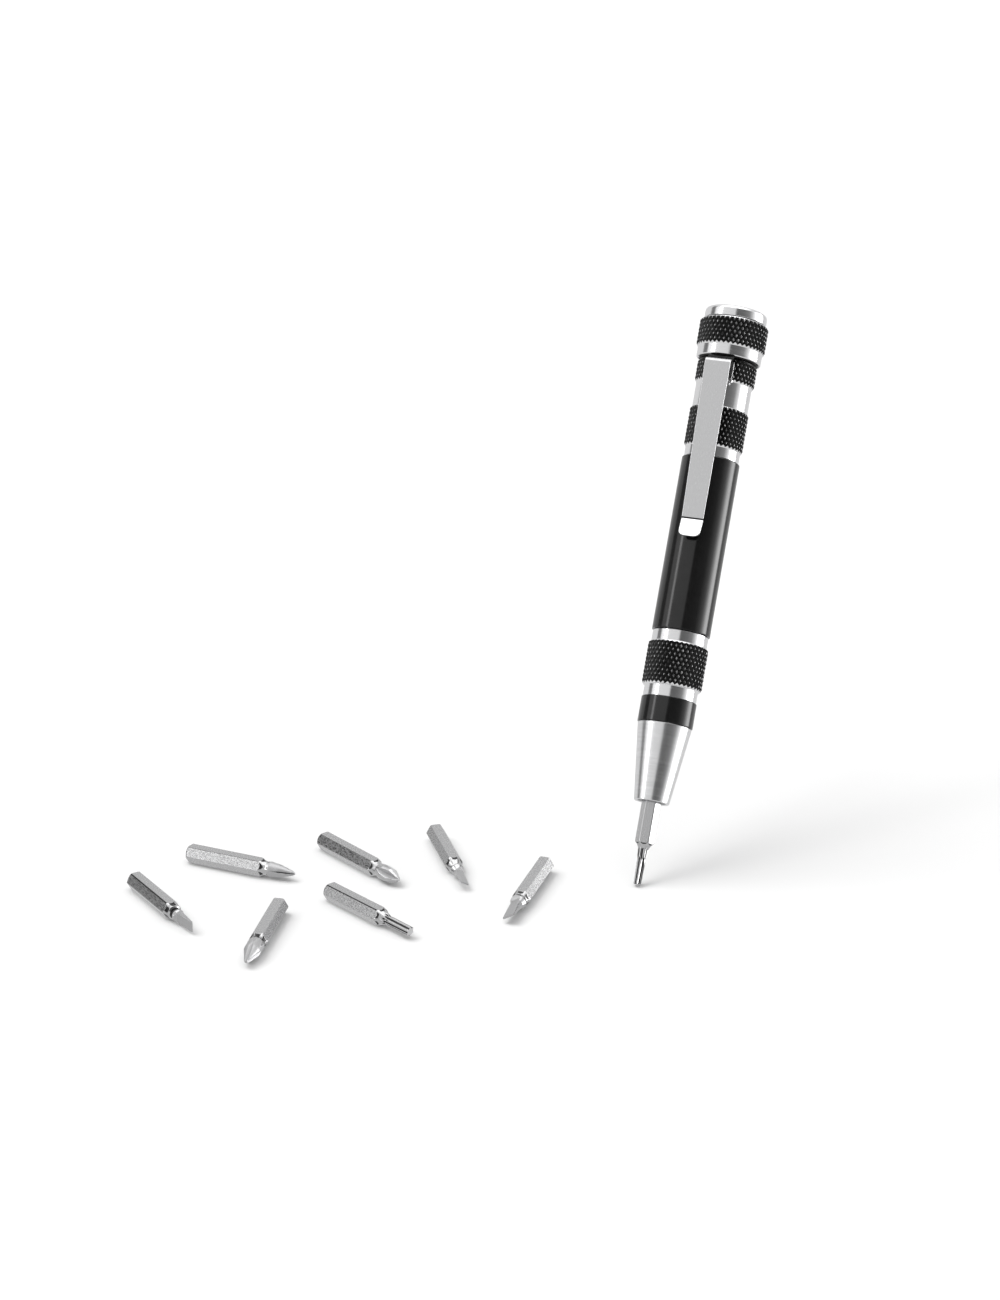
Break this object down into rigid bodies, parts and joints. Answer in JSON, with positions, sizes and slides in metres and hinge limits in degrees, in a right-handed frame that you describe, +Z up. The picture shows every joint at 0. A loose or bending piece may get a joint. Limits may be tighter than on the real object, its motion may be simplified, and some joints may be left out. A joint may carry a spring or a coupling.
{
  "type": "precision screwdriver set",
  "caption": "Pen-style precision screwdriver with knurled grips, pocket clip, swivel top and screw-off cap, standing on its hex bit beside loose spare bits.",
  "frame": {"origin": "the point of the bench that the tip of the bit in the nose rests on", "axes": "+Z up from the bench; +X from the loose bits towards the pen, along the set's longest extent; +Y the way the pen leans, away from the loose bits' tips"},
  "size_m": [0.1522, 0.1219, 0.1194],
  "materials": {
    "bright_aluminium": "bright turned",
    "satin_aluminium": "satin, fine turning lines",
    "black_anodised": "gloss black anodised",
    "knurled_black": "black anodised diamond knurl",
    "clip_steel": "satin plated spring steel",
    "bit_steel": "satin, blasted flats and polished shoulders",
    "socket_steel": "turned",
    "seal_rubber": "matte black",
    "magnet": "nickel plated"
  },
  "bodies": {
    "driver_bit": {"driver_bit_star": "bit_steel"},
    "handle": {"socket_magnet": "magnet", "hex_socket": "socket_steel", "nose_cone": "satin_aluminium", "black_ring": "black_anodised", "front_collar": "knurled_black", "barrel": "black_anodised", "rear_collar": "knurled_black", "clip_ring": "clip_steel"},
    "clip": {"clip_leaf": "clip_steel"},
    "seal": {"cap_o_ring": "seal_rubber"},
    "cap": {"end_cap": "knurled_black"},
    "swivel": {"swivel_top": "bright_aluminium", "swivel_pin": "socket_steel"},
    "loose_slotted": {"bit_slotted": "bit_steel"},
    "loose_cross_fine": {"bit_cross_fine": "bit_steel"},
    "loose_cross_winged": {"bit_cross_winged": "bit_steel"},
    "loose_star": {"bit_star": "bit_steel"},
    "loose_slotted_narrow": {"bit_slotted_narrow": "bit_steel"},
    "loose_slotted_wide": {"bit_slotted_wide": "bit_steel"},
    "loose_cross": {"bit_cross": "bit_steel"}
  },
  "joints": [
    {"name": "handle_lift", "type": "slide", "parent": "driver_bit", "child": "handle", "axis": [0.1764, 0.5428, 0.8211], "range_m": [0, 0.012]},
    {"name": "clip_flex", "type": "hinge", "parent": "handle", "child": "clip", "pos_m": [0.01862, 0.0573, 0.10566], "axis": [-0.9511, 0.309, 0], "range_deg": [0, 5], "stiffness_Nm_per_rad": 1.5},
    {"name": "cap_rise", "type": "slide", "parent": "handle", "child": "seal", "axis": [0.1764, 0.5428, 0.8211], "range_m": [0, 0.006]},
    {"name": "cap_unscrew", "type": "hinge", "parent": "seal", "child": "cap", "pos_m": [0.02227, 0.06853, 0.10543], "axis": [0.1764, 0.5428, 0.8211], "range_deg": [0, 2160]},
    {"name": "swivel_spin", "type": "hinge", "parent": "cap", "child": "swivel", "pos_m": [0.02396, 0.07374, 0.11331], "axis": [0.1764, 0.5428, 0.8211], "continuous": true},
    {"name": "slotted_lift", "type": "slide", "parent": "driver_bit", "child": "loose_slotted", "axis": [0, 0, 1], "range_m": [0, 0.03]},
    {"name": "cross_fine_lift", "type": "slide", "parent": "driver_bit", "child": "loose_cross_fine", "axis": [0, 0, 1], "range_m": [0, 0.03]},
    {"name": "cross_winged_lift", "type": "slide", "parent": "driver_bit", "child": "loose_cross_winged", "axis": [0, 0, 1], "range_m": [0, 0.03]},
    {"name": "star_lift", "type": "slide", "parent": "driver_bit", "child": "loose_star", "axis": [0, 0, 1], "range_m": [0, 0.03]},
    {"name": "slotted_narrow_lift", "type": "slide", "parent": "driver_bit", "child": "loose_slotted_narrow", "axis": [0, 0, 1], "range_m": [0, 0.03]},
    {"name": "slotted_wide_lift", "type": "slide", "parent": "driver_bit", "child": "loose_slotted_wide", "axis": [0, 0, 1], "range_m": [0, 0.03]},
    {"name": "cross_lift", "type": "slide", "parent": "driver_bit", "child": "loose_cross", "axis": [0, 0, 1], "range_m": [0, 0.03]}
  ],
  "couplings": [
    {"joint": "cap_rise", "follows": "cap_unscrew", "m_per_rad": 0.000159}
  ]
}
